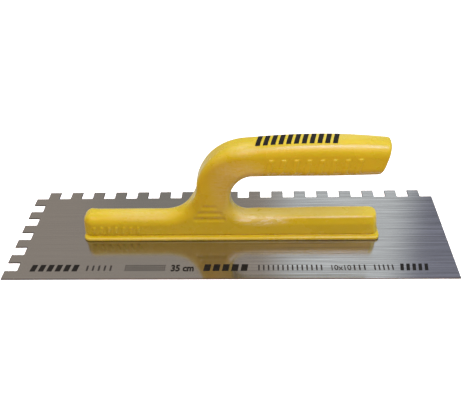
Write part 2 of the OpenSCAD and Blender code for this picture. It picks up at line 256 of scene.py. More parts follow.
class SideView:
    """Distance to the side outline, kept on a fine grid and read between its points."""

    step = 0.5
    x0, z0 = FOOT_X0 - 6.0, -6.0
    x1, z1 = END_TOP_X + 8.0, GRIP_TOP + 10.0

    def __init__(self):
        nx = int((self.x1 - self.x0) / self.step)
        nz = int((self.z1 - self.z0) / self.step)
        xs = self.x0 + self.step * np.arange(nx)
        zs = self.z0 + self.step * np.arange(nz)
        gx, gz = np.meshgrid(xs, zs, indexing="ij")
        points = np.stack([gx.ravel(), gz.ravel()], 1)
        self.values = distance_to_loop(points, side_outline()).reshape(nx, nz)

    def __call__(self, x, z):
        i = np.clip((x - self.x0) / self.step, 0, self.values.shape[0] - 1.001)
        k = np.clip((z - self.z0) / self.step, 0, self.values.shape[1] - 1.001)
        i0, k0 = i.astype(int), k.astype(int)
        di, dk = i - i0, k - k0
        v = self.values
        lower = mix(v[i0, k0], v[i0 + 1, k0], di)
        upper = mix(v[i0, k0 + 1], v[i0 + 1, k0 + 1], di)
        return mix(lower, upper, dk)


SIDE_VIEW = SideView()


def round_max(a, b, r):
    """Where two solids overlap, with the edge between their faces rounded."""
    corner = np.hypot(np.maximum(a + r, 0.0), np.maximum(b + r, 0.0))
    return np.minimum(-r, np.maximum(a, b)) + corner


def round_min(a, b, r):
    """Two solids joined, with a fillet where they meet."""
    corner = np.hypot(np.maximum(r - a, 0.0), np.maximum(r - b, 0.0))
    return np.maximum(r, np.minimum(a, b)) - corner


def towards_grip(x, z, done):
    """0 in the foot and stem, 1 in the grip, and a blend round the bend."""
    run, rise = BEND_WAY
    along = ((x - BEND_FROM[0]) * run + (z - BEND_FROM[1]) * rise) / (run ** 2 + rise ** 2)
    return smooth(along, -0.05, done) * smooth(z, *BEND_Z)


def half_width(x, z):
    """Half the handle's thickness across the blade. The foot leans in above a soft kink."""
    top = mix(LEFT_TOP_HALF_W, RIGHT_TOP_HALF_W, smooth(x, *NARROWING_X))
    over = z - KINK_Z
    risen = 0.5 * (over + np.sqrt(over * over + KINK_SOFTNESS)) / (RIGHT_FOOT_TOP - KINK_Z)
    foot = BODY_HALF_W + (top - BODY_HALF_W) * np.minimum(risen, 1.0)
    stem = mix(foot, STEM_HALF_W, smooth(z, *STEM_WIDENING_Z))
    along = (x - GRIP_START) / (END_TOP_X - GRIP_START)
    barrel = GRIP_BARREL * (2.0 * along - 1.0) ** 2
    grip = GRIP_HALF_W - barrel - GRIP_END_TAPER * smooth(along, 0.55, 1.05)
    grip -= FLANK_LEAN * np.clip(z - GRIP_CENTRE, -10.0, 12.0)
    return mix(stem, grip, towards_grip(x, z, WIDE_AT))


def edge_radius(x, z):
    """Rounding of the handle's long edges: soft on the left and crisp under the grip."""
    left = mix(LEFT_EDGE_R, STEM_EDGE_R, smooth(z, 24.0, 40.0))
    left = mix(LEFT_END_EDGE_R, left, smooth(x, FOOT_X0, FOOT_X0 + 14.0))
    low = mix(left, ROOT_EDGE_R, smooth(x, -6.0, 30.0))
    low = mix(low, RIGHT_EDGE_R, smooth(x, 34.0, 80.0))
    upper = smooth(z, GRIP_CENTRE - 4.0, GRIP_CENTRE + 4.0)
    grip = mix(GRIP_UNDER_EDGE_R, GRIP_TOP_EDGE_R, upper)
    return mix(low, grip, towards_grip(x, z, ROUND_AT))


def stroke_row(x, z, start, end, low, high, pitch, width):
    """1 on a row of plain slanted strokes, 0 off them."""
    middle = (low + high) / 2.0
    half_fade = STROKE_FADE / 2.0
    shifted = x - start - STROKE_LEAN * (z - middle)
    place = np.mod(shifted, pitch)
    on = smooth(place, 0.0, STROKE_FADE) * (1.0 - smooth(place, width, width + STROKE_FADE))
    above = smooth(z, low - half_fade, low + half_fade)
    below = 1.0 - smooth(z, high - half_fade, high + half_fade)
    return on * (above * below) * (shifted > 0.0) * (shifted < end - start)


def relief(x, z):
    """How far the moulded marks stand out of the handle's flanks."""
    out = np.zeros_like(x)
    for i in range(GROOVES):
        half_l = GROOVE_HALF_L - GROOVE_SHORTER * i
        across = 1.0 - smooth(np.abs(z - GROOVE_Z - GROOVE_PITCH * i), 0.9, 1.9)
        ends = 1.0 - smooth(np.abs(x - GROOVE_X - GROOVE_SHIFT * i), half_l, half_l + 1.0)
        out -= (GROOVE_DEPTH - GROOVE_SHALLOWER * i) * across * ends
    # A groove along the foot where it meets its lip
    from_groove = (z - LIP_GROOVE_Z) / LIP_GROOVE_HALF_H
    out -= LIP_GROOVE_DEPTH * np.clip(1.0 - from_groove ** 2, 0.0, 1.0)
    for height, *row in STROKE_ROWS:
        out += height * stroke_row(x, z, *row)
    return out


def lip(x, y, z):
    """Flange that stands on the blade, with round corners in plan."""
    corner = mix(LIP_CORNER_LEFT, LIP_CORNER_RIGHT, smooth(x, -60.0, 60.0))
    qx = np.abs(x - (FOOT_X0 + FOOT_X1) / 2) - (FOOT_X1 - FOOT_X0) / 2 + corner
    qy = np.abs(y) - LIP_HALF_W + corner
    outside = np.hypot(np.maximum(qx, 0), np.maximum(qy, 0))
    plan = outside + np.minimum(np.maximum(qx, qy), 0) - corner
    top_radius = mix(LIP_EDGE_LEFT, LIP_EDGE_RIGHT, smooth(x, 0.0, 100.0))
    return round_max(round_max(plan, z - LIP_TOP, top_radius), BLADE_T - z, LIP_UNDER_R)


def end_lean():
    """Angle between the grip's end and an upright, in radians."""
    return math.atan2(END_LEAN, GRIP_TOP - GRIP_BOTTOM)


def grip_end(x, z):
    """Distance past the leaning end of the grip, which is a little domed."""
    lean = end_lean()
    across = (x - END_TOP_X) * math.cos(lean) - (z - GRIP_TOP) * math.sin(lean)
    along = (z - GRIP_CENTRE) / 14.0
    return across + END_DOME * along * along


def handle_field(p):
    """Signed distance to the whole moulding, its end plug included, negative inside."""
    x, y, z = p[:, 0], p[:, 1], p[:, 2]
    low_part = z < GAP_Z
    flank = np.abs(y) - half_width(x, z) - relief(x, z)
    domed_x0 = BODY_X0 + y * y / LEFT_DOME + LEFT_DRAFT * (z - DRAFT_Z)
    drafted_x1 = BODY_X1 - RIGHT_DRAFT * (z - DRAFT_Z)
    foot_end = np.where(low_part, np.maximum(x - drafted_x1, domed_x0 - x), -BEYOND)
    plan = round_max(flank, foot_end, BODY_CORNER_R)
    body = round_max(SIDE_VIEW(x, z), plan, edge_radius(x, z))
    body = round_min(body, lip(x, y, z), LIP_FILLET_R)
    end = np.where(low_part, -BEYOND, grip_end(x, z))
    return round_max(body, end, END_EDGE_R)


# ---------------------------------------------------------------- Meshes from a field


def surface_net(field, low, high, step):
    """Quads where a field changes sign: one point in each crossed cell, moved onto the surface."""
    axes = [np.arange(low[a], high[a] + step, step) for a in range(3)]
    shape = tuple(len(a) for a in axes)
    values = np.empty(shape)
    gy, gz = np.meshgrid(axes[1], axes[2], indexing="ij")
    for i, x in enumerate(axes[0]):
        points = np.stack([np.full(gy.size, x), gy.ravel(), gz.ravel()], 1)
        values[i] = field(points).reshape(gy.shape)
    inside = values < 0.0
    cells = tuple(n - 1 for n in shape)
    total, count = np.zeros(cells + (3,)), np.zeros(cells, int)
    grid = np.stack(np.meshgrid(*[np.arange(n) for n in cells], indexing="ij"), -1).astype(float)

    def corner(array, offset):
        """The array at one corner of every cell."""
        return array[tuple(slice(o, o + n) for o, n in zip(offset, cells))]

    for axis in range(3):
        others = [a for a in range(3) if a != axis]
        for u in (0, 1):
            for v in (0, 1):
                start = [0, 0, 0]
                start[others[0]], start[others[1]] = u, v
                end = list(start)
                end[axis] = 1
                a, b = corner(values, start), corner(values, end)
                cut = corner(inside, start) != corner(inside, end)
                share = np.where(cut, a / np.where(cut, a - b, 1.0), 0.0)
                point = np.array(start, float) + share[..., None] * np.eye(3)[axis]
                total[cut] += (grid + point)[cut]
                count += cut
    active = count > 0
    index = np.full(cells, -1)
    index[active] = np.arange(active.sum())
    verts = np.array([low[a] for a in range(3)]) + step * total[active] / count[active][:, None]
    quads = []
    for axis in range(3):
        u, v = [a for a in range(3) if a != axis]
        size = [cells[a] if a == axis else cells[a] - 1 for a in range(3)]
        base = [0 if a == axis else 1 for a in range(3)]
        first = inside[tuple(slice(base[a], base[a] + size[a]) for a in range(3))]
        ahead = [base[a] + (1 if a == axis else 0) for a in range(3)]
        second = inside[tuple(slice(ahead[a], ahead[a] + size[a]) for a in range(3))]
        crossed = np.argwhere(first != second) + np.array(base)
        out = first[tuple((crossed - np.array(base)).T)]

        def cell(du, dv):
            """Index of the point in the cell that many steps back along u and v."""
            c = crossed.copy()
            c[:, u] -= du
            c[:, v] -= dv
            return index[tuple(c.T)]

        quad = np.stack([cell(1, 1), cell(0, 1), cell(0, 0), cell(1, 0)], 1)
        flip = out if axis != 1 else ~out
        quad[~flip] = quad[~flip][:, ::-1]
        quads.append(quad)
    return settle(field, verts, step), np.concatenate(quads)


def settle(field, verts, step):
    """Moves points straight onto the surface of the field."""
    eps = 0.04
    for _ in range(5):
        value = field(verts)
        rises = [field(verts + d) - field(verts - d) for d in np.eye(3) * eps]
        slope = np.stack([rise / (2 * eps) for rise in rises], 1)
        steep = np.maximum((slope ** 2).sum(1), 0.05)
        move = -(value / steep)[:, None] * slope
        far = np.maximum(np.linalg.norm(move, axis=1) / (0.5 * step), 1.0)
        verts = verts + move / far[:, None]
    return verts


def new_object(name, verts_mm, faces):
    """A mesh object from points in millimetres."""
    mesh = bpy.data.meshes.new(name)
    mesh.from_pydata((np.asarray(verts_mm) * MM).tolist(), [], [list(map(int, f)) for f in faces])
    mesh.validate()
    mesh.update()
    return new_linked(name, mesh)


def shade_smooth(obj):
    """Smooth shading on every face."""
    for polygon in obj.data.polygons:
        polygon.use_smooth = True


def cut_away(obj, point_mm, normal, above_mm=-BEYOND):
    """Cuts off what is ahead of a plane and above a height, and closes the cut with a sharp rim."""
    bm = bmesh.new()
    bm.from_mesh(obj.data)
    verts = [v for v in bm.verts if v.co.z > above_mm * MM]
    edges = [e for e in bm.edges if min(v.co.z for v in e.verts) > above_mm * MM]
    faces = [f for f in bm.faces if min(v.co.z for v in f.verts) > above_mm * MM]
    cut = bmesh.ops.bisect_plane(
        bm, geom=verts + edges + faces, dist=1e-7,
        plane_co=Vector(point_mm) * MM, plane_no=Vector(normal), clear_outer=True,
    )
    rim = [e for e in cut["geom_cut"] if isinstance(e, bmesh.types.BMEdge)]
    bmesh.ops.holes_fill(bm, edges=rim, sides=0)
    for edge in rim:
        edge.smooth = False
    bm.to_mesh(obj.data)
    bm.free()


# Size of the cells of the handle's mesh, and the box that they fill
NET_STEP, QUICK_NET_STEP = 0.8, 1.6
NET_LOW = (FOOT_X0 - 2.0, -17.0, BLADE_T - 2.5)
NET_HIGH = (END_TOP_X + 3.0, 17.0, GRIP_TOP + 5.0)


def make_handle(material):
    """The moulding as two pieces: the handle itself, and the plug in the grip's free end."""
    step = NET_STEP
    verts, quads = surface_net(handle_field, NET_LOW, NET_HIGH, step)
    seam_point = (END_TOP_X - SEAM_BACK, 0.0, GRIP_TOP)
    seam_normal = Vector((math.cos(end_lean()), 0.0, -math.sin(end_lean())))
    between = (RIGHT_FOOT_TOP + GRIP_BOTTOM) / 2
    moulding = new_object("handle_moulding", verts, quads)
    cut_away(moulding, (0, 0, BLADE_T), (0, 0, -1))
    cut_away(moulding, seam_point, seam_normal, between)
    plug = new_object("end_plug", verts, quads)
    cut_away(plug, (0, 0, BLADE_T), (0, 0, -1))
    cut_away(plug, seam_point, -seam_normal)
    drop_low_part(plug, between)
    for obj, node in ((moulding, "handle"), (plug, "grip_end_plug")):
        shade_smooth(obj)
        obj.data.materials.append(material)
        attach(obj, "root")
        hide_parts(node)
    return moulding, plug


def drop_low_part(obj, height_mm):
    """Drops what lies below a height, where the object has a gap."""
    bm = bmesh.new()
    bm.from_mesh(obj.data)
    bmesh.ops.delete(bm, geom=[v for v in bm.verts if v.co.z < height_mm * MM], context="VERTS")
    bm.to_mesh(obj.data)
    bm.free()


# ---------------------------------------------------------------- Materials


def srgb(r, g, b):
    """A colour given in 0..255 display values, as the linear colour that shaders take."""

    def linear(c):
        """One channel, by the sRGB curve."""
        c /= 255.0
        return c / 12.92 if c <= 0.04045 else ((c + 0.055) / 1.055) ** 2.4

    return (linear(r), linear(g), linear(b), 1.0)


class Nodes:
    """Short ways to add and join the nodes of a material or of the world."""

    def __init__(self, owner, shader, output, place):
        owner.use_nodes = True
        self.owner = owner
        self.tree = owner.node_tree
        self.tree.nodes.clear()
        self.shader = self.add(shader)
        self.join(self.shader.outputs[0], self.add(output).inputs["Surface"])
        self.place = self.add("ShaderNodeTexCoord").outputs[place]

    def add(self, kind, **settings):
        """A new node with its settings."""
        node = self.tree.nodes.new(kind)
        for key, value in settings.items():
            setattr(node, key, value)
        return node

    def join(self, a, b):
        """A link from an output to an input."""
        self.tree.links.new(a, b)

    def put(self, value, socket):
        """Joins a socket, or sets a plain value."""
        if isinstance(value, bpy.types.NodeSocket):
            self.join(value, socket)
        else:
            socket.default_value = value

    def math(self, operation, a, b=0.0, clamp=False):
        """One sum on two numbers or sockets."""
        node = self.add("ShaderNodeMath", operation=operation, use_clamp=clamp)
        self.put(a, node.inputs[0])
        self.put(b, node.inputs[1])
        return node.outputs[0]

    def scaled(self, scale, source=None):
        """A vector, or else the place on the object, scaled along each axis."""
        node = self.add("ShaderNodeVectorMath", operation="MULTIPLY")
        self.put(source or self.place, node.inputs[0])
        node.inputs[1].default_value = scale
        return node.outputs[0]

    def noise(self, scale, detail=2.0, roughness=0.5, stretch=(1, 1, 1)):
        """Noise over the object, squeezed along each axis by stretch."""
        node = self.add("ShaderNodeTexNoise")
        self.join(self.scaled(stretch), node.inputs["Vector"])
        node.inputs["Scale"].default_value = scale
        node.inputs["Detail"].default_value = detail
        node.inputs["Roughness"].default_value = roughness
        return node.outputs[0]

    def near(self, centre, reach):
        """1 at a place on the object and 0 beyond its reach along each axis, in millimetres."""
        away = self.add("ShaderNodeVectorMath", operation="SUBTRACT")
        self.put(self.place, away.inputs[0])
        away.inputs[1].default_value = [c * MM for c in centre]
        length = self.add("ShaderNodeVectorMath", operation="LENGTH")
        self.put(self.scaled([1.0 / (r * MM) for r in reach], away.outputs[0]), length.inputs[0])
        return self.between(length.outputs["Value"], 1.0, 0.3)

    def ramp(self, value, *stops):
        """Colour ramp from (position, colour) stops."""
        node = self.add("ShaderNodeValToRGB")
        ramp = node.color_ramp
        while len(ramp.elements) < len(stops):
            ramp.elements.new(0.5)
        for element, (position, colour) in zip(ramp.elements, stops):
            element.position = position
            element.color = colour if len(colour) == 4 else (*colour, 1.0)
        self.put(value, node.inputs[0])
        return node.outputs[0]

    def between(self, value, low, high, out_low=0.0, out_high=1.0):
        """A value's place between low and high, given as a place between the two outputs."""
        node = self.add("ShaderNodeMapRange")
        self.put(value, node.inputs[0])
        for socket, number in zip(node.inputs[1:5], (low, high, out_low, out_high)):
            socket.default_value = number
        return node.outputs[0]

    def mix(self, share, a, b):
        """Colour a where share is 0, b where it is 1."""
        node = self.add("ShaderNodeMix", data_type="RGBA", blend_type="MIX")
        self.put(share, node.inputs["Factor"])
        self.put(a, node.inputs[6])
        self.put(b, node.inputs[7])
        return node.outputs[2]

    def bump(self, height, distance, strength):
        """Fine unevenness of the surface, too small for the mesh."""
        node = self.add("ShaderNodeBump")
        self.put(height, node.inputs["Height"])
        node.inputs["Distance"].default_value = distance
        node.inputs["Strength"].default_value = strength
        self.join(node.outputs[0], self.shader.inputs["Normal"])

    def set(self, **values):
        """The shader's sockets by name, with _ for a space."""
        for name, value in values.items():
            self.put(value, self.shader.inputs[name.replace("_", " ")])


def grey(value):
    """A linear grey."""
    return (value, value, value, 1.0)


def new_material(name):
    """The nodes of a new material, which follows the object's own axes."""
    material = bpy.data.materials.new(name)
    return Nodes(material, "ShaderNodeBsdfPrincipled", "ShaderNodeOutputMaterial", "Object")


# Places that hold mortar dust, and edges given a painted highlight in the same pale colour: centre
# and reach in millimetres, and how much of that colour
DUST_AND_PAINTED_HIGHLIGHTS = (
    ((28.0, -8.0, 18.5), (27.0, 9.0, 7.0), 0.4),
    ((12.0, -6.0, 25.0), (15.0, 12.0, 9.0), 0.5),
    ((48.0, -1.0, 21.5), (62.0, 9.0, 4.0), 0.25),
    ((11.0, -11.0, 86.0), (16.0, 10.0, 8.0), 0.4),
    ((-4.0, -11.0, 48.0), (13.0, 9.0, 34.0), 0.32),
    ((12.0, -13.0, 66.0), (22.0, 8.0, 12.0), 0.42),
    ((-72.0, -3.0, 21.5), (36.0, 10.0, 7.0), 0.3),
    # From here on, painted highlights rather than dust: the right foot's crease, the foot's far top
    # edge, the lip's left half, the lip's top edge on the right, and the foot's right end
    ((88.0, -7.4, 20.3), (46.0, 1.5, 1.5), 0.9),
    ((60.0, 7.2, 20.3), (70.0, 1.6, 1.6), 0.5),
    ((-60.0, -12.4, 3.0), (100.0, 1.8, 2.2), 0.32),
    ((85.0, -11.8, 3.6), (70.0, 1.4, 0.8), 0.6),
    ((118.0, -4.0, 16.0), (3.0, 9.0, 8.0), 0.35),
)
# Where the foot's flank is scuffed pale beside the stem
SCUFFED = ((26.0, -8.4, 17.6), (25.0, 5.0, 4.6))


def dust_and_highlight_share(n):
    """How much of the plastic's colour is pale: mortar dust, and painted highlights along some
    edges. Mottled, and scratched along the blade.
    """
    mottle = n.between(n.noise(330.0, 4.0, 0.7), 0.38, 0.62, 0.15, 1.0)
    scratch = n.between(n.noise(1.0, 3.0, 0.7, (70.0, 500.0, 900.0)), 0.4, 0.62, 0.2, 1.0)
    share = 0.03
    for centre, reach, amount in DUST_AND_PAINTED_HIGHLIGHTS:
        share = n.math("ADD", share, n.math("MULTIPLY", n.near(centre, reach), amount))
    share = n.math("MULTIPLY", share, n.math("MAXIMUM", mottle, scratch))
    scuffs = n.between(n.noise(1.0, 4.0, 0.75, (130.0, 300.0, 620.0)), 0.5, 0.58)
    scuffed = n.math("MULTIPLY", n.near(*SCUFFED), n.math("MULTIPLY", scuffs, 1.5))
    return n.math("ADD", share, scuffed, clamp=True)


def plastic():
    """Moulded yellow plastic, used and a little dusty, with painted highlights along some edges."""
    n = new_material("yellow_plastic")
    cloud = n.noise(55.0, 3.0, 0.6)
    speck = n.noise(900.0, 2.0, 0.6)
    dust_and_highlights = dust_and_highlight_share(n)
    yellow = n.ramp(cloud, (0.3, srgb(203, 184, 0)), (0.7, srgb(209, 190, 6)))
    # The pale colour is mortar dust, and painted highlight on the edges that the table marks
    n.set(Base_Color=n.mix(dust_and_highlights, yellow, srgb(226, 218, 158)), IOR=1.5)
    clean = n.between(cloud, 0.3, 0.7, 0.22, 0.31)
    n.set(Roughness=n.math("ADD", clean, n.math("MULTIPLY", dust_and_highlights, 0.4)))
    n.shader.inputs["Specular IOR Level"].default_value = 0.55
    n.shader.inputs["Subsurface Weight"].default_value = 0.2
    n.shader.inputs["Subsurface Radius"].default_value = (1.0, 0.5, 0.1)
    n.shader.inputs["Subsurface Scale"].default_value = 0.003
    n.shader.inputs["Sheen Weight"].default_value = 0.3
    n.shader.inputs["Sheen Roughness"].default_value = 0.3
    n.bump(n.math("ADD", n.math("MULTIPLY", speck, 0.2), cloud), 0.00012, 0.35)
    return n.owner


# The blade's streaks grow stronger from the first place to the second along X, in metres
STREAKS_FROM_TO = (-0.02, 0.07)


def brushed_steel():
    """Sheet ground along its length, with stronger streaks towards one end, and painted shade that
    darkens its edges.
    """
    n = new_material("brushed_steel")
    split = n.add("ShaderNodeSeparateXYZ")
    n.join(n.place, split.inputs[0])
    grain = n.noise(1.0, 2.0, 0.6, (12.0, 2400.0, 1.0))
    streak = n.noise(1.0, 4.0, 0.75, (8.0, 720.0, 1.0))
    worn = n.between(split.outputs["X"], *STREAKS_FROM_TO, 0.1, 1.6)
    strong = n.math("MULTIPLY", worn, n.between(streak, 0.3, 0.7, -0.5, 0.5))
    fine = n.between(grain, 0.3, 0.7, -0.1, 0.1)
    tone = n.math("ADD", n.math("ADD", strong, fine), 0.5)
    ground = n.mix(tone, grey(0.24), grey(0.49))
    # Painted shade: the rim attribute darkens the sheet's cut edges and a thin band of its top face
    # almost to black
    rim = n.add("ShaderNodeAttribute", attribute_name="rim")
    painted_edge_shade = n.math("MULTIPLY", rim.outputs["Fac"], 0.88)
    n.set(Base_Color=n.mix(painted_edge_shade, ground, grey(0.04)), Anisotropic=0.75)
    n.set(Metallic=n.between(split.outputs["X"], *STREAKS_FROM_TO, 0.97, 0.91))
    n.set(Roughness=n.math("ADD", n.math("MULTIPLY", strong, -0.05), 0.115))
    tangent = n.add("ShaderNodeTangent", direction_type="UV_MAP", uv_map="grain")
    n.join(tangent.outputs[0], n.shader.inputs["Tangent"])
    n.bump(n.math("ADD", n.math("MULTIPLY", strong, 0.5), grain), 0.00001, 0.5)
    return n.owner


def plated_steel():
    """Zinc plate on the fixings and the strip."""
    n = new_material("plated_steel")
    cloud = n.noise(400.0, 3.0)
    n.set(Base_Color=n.ramp(cloud, (0.3, grey(0.55)), (0.7, grey(0.68))), Metallic=1.0)
    n.set(Roughness=n.between(cloud, 0.3, 0.7, 0.25, 0.4))
    return n.owner


def ink_material(name, level):
    """Dull printing ink, a little uneven and warmer where it is thin."""
    n = new_material(name)
    cloud = n.noise(300.0, 2.0)
    thick, thin = srgb(level, level, level), srgb(level + 12, level + 10, level + 8)
    n.set(Base_Color=n.ramp(cloud, (0.3, thick), (0.7, thin)))
    n.set(Roughness=0.6)
    n.shader.inputs["Specular IOR Level"].default_value = 0.2
    return n.owner


def floor_material():
    """Dull and pale, with some light of its own so that it stays even and white."""
    n = new_material("floor")
    n.set(Base_Color=grey(0.9), Roughness=0.9)
    n.shader.inputs["Specular IOR Level"].default_value = 0.1
    n.shader.inputs["Emission Color"].default_value = (1, 1, 1, 1)
    n.shader.inputs["Emission Strength"].default_value = 0.7
    return n.owner


# ---------------------------------------------------------------- Blade

# Depth and width of each square notch, and the rounding of its inner corners
NOTCH, NOTCH_R = 10.0, 0.8
# Width of the broken edges, and how far in from the outline the painted shade on the edges fades
# out
BROKEN_EDGE, EDGE_SHADE_WIDTH = 0.12, 0.6
SCREW_HEAD_R, RIVET_HEAD_R = 3.8, 3.4


def blade_outline():
    """Anticlockwise loop: front edge, right edge, long row of teeth, short row of teeth."""
    x0, x1 = BLADE_LOW[0], BLADE_HIGH[0]
    y0, y1 = BLADE_LOW[1], BLADE_HIGH[1]
    r = NOTCH_R
    back, side = y1 - NOTCH, x0 + NOTCH
    back_notches = int((round((x1 - x0) / NOTCH) - 1) / 2)
    side_notches = int((round((y1 - y0) / NOTCH) - 1) / 2)
    last = x0 + 2 * NOTCH * back_notches
    loop = [[x0, y0], [x1, y0], [x1, back], [last, back], [last, y1], [last - NOTCH, y1]]
    for i in reversed(range(1, back_notches)):
        left = x0 + 2 * NOTCH * i
        right = left + NOTCH
        loop += arc((right - r, back + r), r, 0, -90, 5).tolist()
        loop += arc((left + r, back + r), r, -90, -180, 5).tolist()
        loop += [[left, y1], [left - NOTCH, y1]]
    loop += [[side, back], [x0, back]]
    for i in reversed(range(side_notches)):
        low = y0 + NOTCH * (1 + 2 * i)
        high = low + NOTCH
        loop.append([x0, high])
        loop += arc((side - r, high - r), r, 90, 0, 5).tolist()
        loop += arc((side - r, low + r), r, 0, -90, 5).tolist()
        loop.append([x0, low])
    return np.array(without_repeats(loop))


def without_repeats(loop):
    """The loop without points that repeat the one before."""
    return [p for p, q in zip(loop, loop[-1:] + loop[:-1]) if math.dist(p, q) > 1e-6]


def inset(loop, by):
    """The loop moved in by a small distance, square to its edges."""

    def outward(edges):
        """Unit normal of each edge, to the right of its direction."""
        return np.stack([edges[:, 1], -edges[:, 0]], 1) / np.linalg.norm(edges, axis=1)[:, None]

    both = outward(loop - np.roll(loop, 1, 0)) + outward(np.roll(loop, -1, 0) - loop)
    return loop - by * both * (2.0 / (both ** 2).sum(1))[:, None]


def circle(centre, radius, count=40):
    """Points round a full circle."""
    return arc(centre, radius, 0, 360 - 360 / count, count)


def make_blade(material):
    """Sheet with fine broken edges, and a countersunk hole under each fixing."""
    outline = blade_outline()
    drawn_in = inset(outline, BROKEN_EDGE)
    z = BLADE_LOW[2]
    rings = [
        (drawn_in, z),
        (outline, z + BROKEN_EDGE),
        (outline, z + BLADE_T - BROKEN_EDGE),
        (drawn_in, z + BLADE_T),
        (inset(outline, EDGE_SHADE_WIDTH), z + BLADE_T),
    ]
    bm = bmesh.new()
    rim = bm.verts.layers.float.new("rim")

    def add_ring(points, height):
        """Points of one ring, all at one height."""
        return [bm.verts.new((x * MM, y * MM, height * MM)) for x, y in points]

    def bridge(low, high):
        """Faces between two rings that have the same number of points."""
        for i in range(len(low)):
            j = (i + 1) % len(low)
            bm.faces.new((low[i], low[j], high[j], high[i]))

    def loop_edges(ring):
        """Edges along a ring that already has faces."""
        return [bm.edges.get((ring[i], ring[(i + 1) % len(ring)])) for i in range(len(ring))]

    outer = [add_ring(p, h) for p, h in rings]
    # Painted shade on the steel goes on every ring but the innermost one on the top face
    for ring in outer[:-1]:
        for vert in ring:
            vert[rim] = 1.0
    for low, high in zip(outer, outer[1:]):
        bridge(low, high)
    bottom, top = loop_edges(outer[0]), loop_edges(outer[-1])
    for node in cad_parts:
        if "rivet" in node or "screw" in node:
            low, high = box_mm(node)
            centre = ((low[0] + high[0]) / 2, (low[1] + high[1]) / 2)
            head_r = SCREW_HEAD_R if "screw" in node else RIVET_HEAD_R
            wide = add_ring(circle(centre, head_r)[::-1], z)
            narrow = add_ring(circle(centre, head_r - BLADE_T)[::-1], z + BLADE_T)
            bridge(wide, narrow)
            bottom += loop_edges(wide)
            top += loop_edges(narrow)
    bmesh.ops.triangle_fill(bm, edges=bottom, use_beauty=True)
    bmesh.ops.triangle_fill(bm, edges=top, use_beauty=True)
    bmesh.ops.recalc_face_normals(bm, faces=bm.faces[:])
    # The steel's grain runs along X, and its shader reads that direction from this map
    grain = bm.loops.layers.uv.new("grain")
    for face in bm.faces:
        for corner in face.loops:
            corner[grain].uv = (corner.vert.co.y * 10.0, -corner.vert.co.x * 10.0)
    mesh = bpy.data.meshes.new("blade_sheet")
    bm.to_mesh(mesh)
    bm.free()
    mesh.materials.append(material)
    obj = new_linked("blade_sheet", mesh)
    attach(obj, "root")
    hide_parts("blade")
    return obj


# ---------------------------------------------------------------- Printed marks

# Ink lies this far above the surface
INK_LIFT = 0.05
# Height of a capital letter, as a share of the font's size
CAPITAL_SHARE = 0.69
# Front and back edge of the row of marks along the blade
MARKS_Y0, MARKS_Y1 = -50.9, -42.9
# Rows of marks on the blade: start, end, pitch and width
BOLD_MARKS = (
    ("bold_marks_1", -155.0, -113.0, 6.6, 4.2),
    ("bold_marks_2", -19.2, 17.6, 7.2, 5.0),
    ("bold_marks_3", 131.5, 155.5, 4.6, 2.6),
)
FINE_MARKS = (
    ("fine_marks_1", -110.8, -87.5, 4.6, 1.5),
    ("fine_marks_2", 23.2, 75.0, 3.7, 1.2),
    ("fine_marks_3", 96.5, 105.5, 3.9, 1.2),
    ("fine_marks_4", 112.0, 129.0, 3.4, 1.2),
)
HATCHING = (-80.6, -48.8, 1.6, 0.9)
HATCHING_ROWS, HATCHING_PITCH, HATCHING_H = 3, 2.6, 1.9
GRIP_MARKS = (21.5, 86.5, 5.8, 3.7)


def bar_row(start, end, pitch, width):
    """Left and right edge of each bar in a plain row."""
    count = int((end - start - width) / pitch + 1.001)
    return [(start + i * pitch, start + i * pitch + width) for i in range(count)]


def print_on_blade(name, bars, y0, y1, lean, material):
    """Flat ink bars just above the blade's top face."""
    verts, faces = [], []
    z = BLADE_T + INK_LIFT
    for left, right in bars:
        first = len(verts)
        slide = lean * (y1 - y0)
        verts += [(left, y0, z), (right, y0, z), (right + slide, y1, z), (left + slide, y1, z)]
        faces.append(range(first, first + 4))
    finish_print(new_object(name, verts, faces), material)


def print_size(name, text, x, y, height, narrow, bold, material):
    """A plain size in figures, lying on the blade."""
    curve = bpy.data.curves.new(name, "FONT")
    curve.body = text
    curve.size = height / CAPITAL_SHARE * MM
    curve.offset = bold * MM
    curve.resolution_u = 3
    obj = new_linked(name, curve)
    obj.location = (x * MM, y * MM, (BLADE_T + INK_LIFT) * MM)
    obj.scale = (narrow, 1.0, 1.0)
    finish_print(obj, material)


def print_on_grip(name, bars, y0, y1, lean, material):
    """Ink bars that follow the top of the grip, made as small draped grids."""
    verts, faces = [], []
    across, along = 4, 20
    for left, right in bars:
        first = len(verts)
        for i in range(along + 1):
            for j in range(across + 1):
                y = y0 + (y1 - y0) * i / along
                x = left + (right - left) * j / across + lean * (y - y0)
                verts.append((x, y, 0.0))
        for i in range(along):
            for j in range(across):
                a = first + i * (across + 1) + j
                faces.append((a, a + 1, a + across + 2, a + across + 1))
    points = drape(np.array(verts), GRIP_CENTRE, GRIP_TOP + CROWN_RISE + 2.0)
    obj = new_object(name, points, faces)
    shade_smooth(obj)
    finish_print(obj, material)


def drape(points, low, high):
    """Heights at which vertical lines through the points leave the handle."""
    below, above = np.full(len(points), low), np.full(len(points), high)
    for _ in range(30):
        middle = (below + above) / 2
        inside = handle_field(np.stack([points[:, 0], points[:, 1], middle], 1)) < 0
        below = np.where(inside, middle, below)
        above = np.where(inside, above, middle)
    return np.stack([points[:, 0], points[:, 1], above + INK_LIFT], 1)


def finish_print(obj, material):
    """Ink on a printed mark, which belongs to the whole tool."""
    obj.data.materials.append(material)
    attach(obj, "root")


